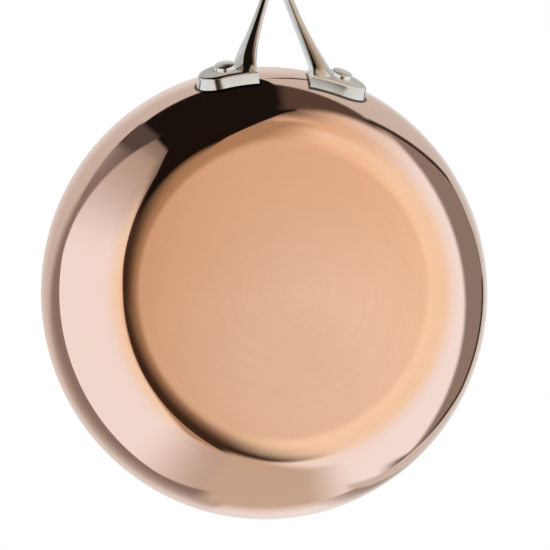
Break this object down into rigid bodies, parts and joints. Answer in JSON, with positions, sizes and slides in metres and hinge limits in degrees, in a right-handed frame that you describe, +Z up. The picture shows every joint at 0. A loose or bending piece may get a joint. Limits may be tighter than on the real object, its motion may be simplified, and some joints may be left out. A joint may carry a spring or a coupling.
{
  "type": "frying pan",
  "caption": "Round flat-based frying pan of bonded copper, aluminium and steel, with a flared lip and a forked cast handle riveted to it, ending in a hanging eye.",
  "frame": {"origin": "centre of the flat underside of the base", "axes": "+Z up out of the pan's mouth, +X along the handle from the pan to the hanging eye, XZ the plane of symmetry"},
  "size_m": [0.3872, 0.2, 0.0973],
  "materials": {
    "copper": "mirror-polished copper wall and lip, circular brushed base",
    "aluminium": "cut edge at the rim",
    "lining_steel": "circular brushed stainless cooking surface",
    "cast_steel": "polished cast stainless",
    "rivet_steel": "satin stainless"
  },
  "bodies": {
    "root": {"copper_outer_shell": "copper", "aluminium_core": "aluminium", "steel_lining": "lining_steel", "handle": "cast_steel", "rivet_left": "rivet_steel", "rivet_right": "rivet_steel"}
  },
  "joints": []
}
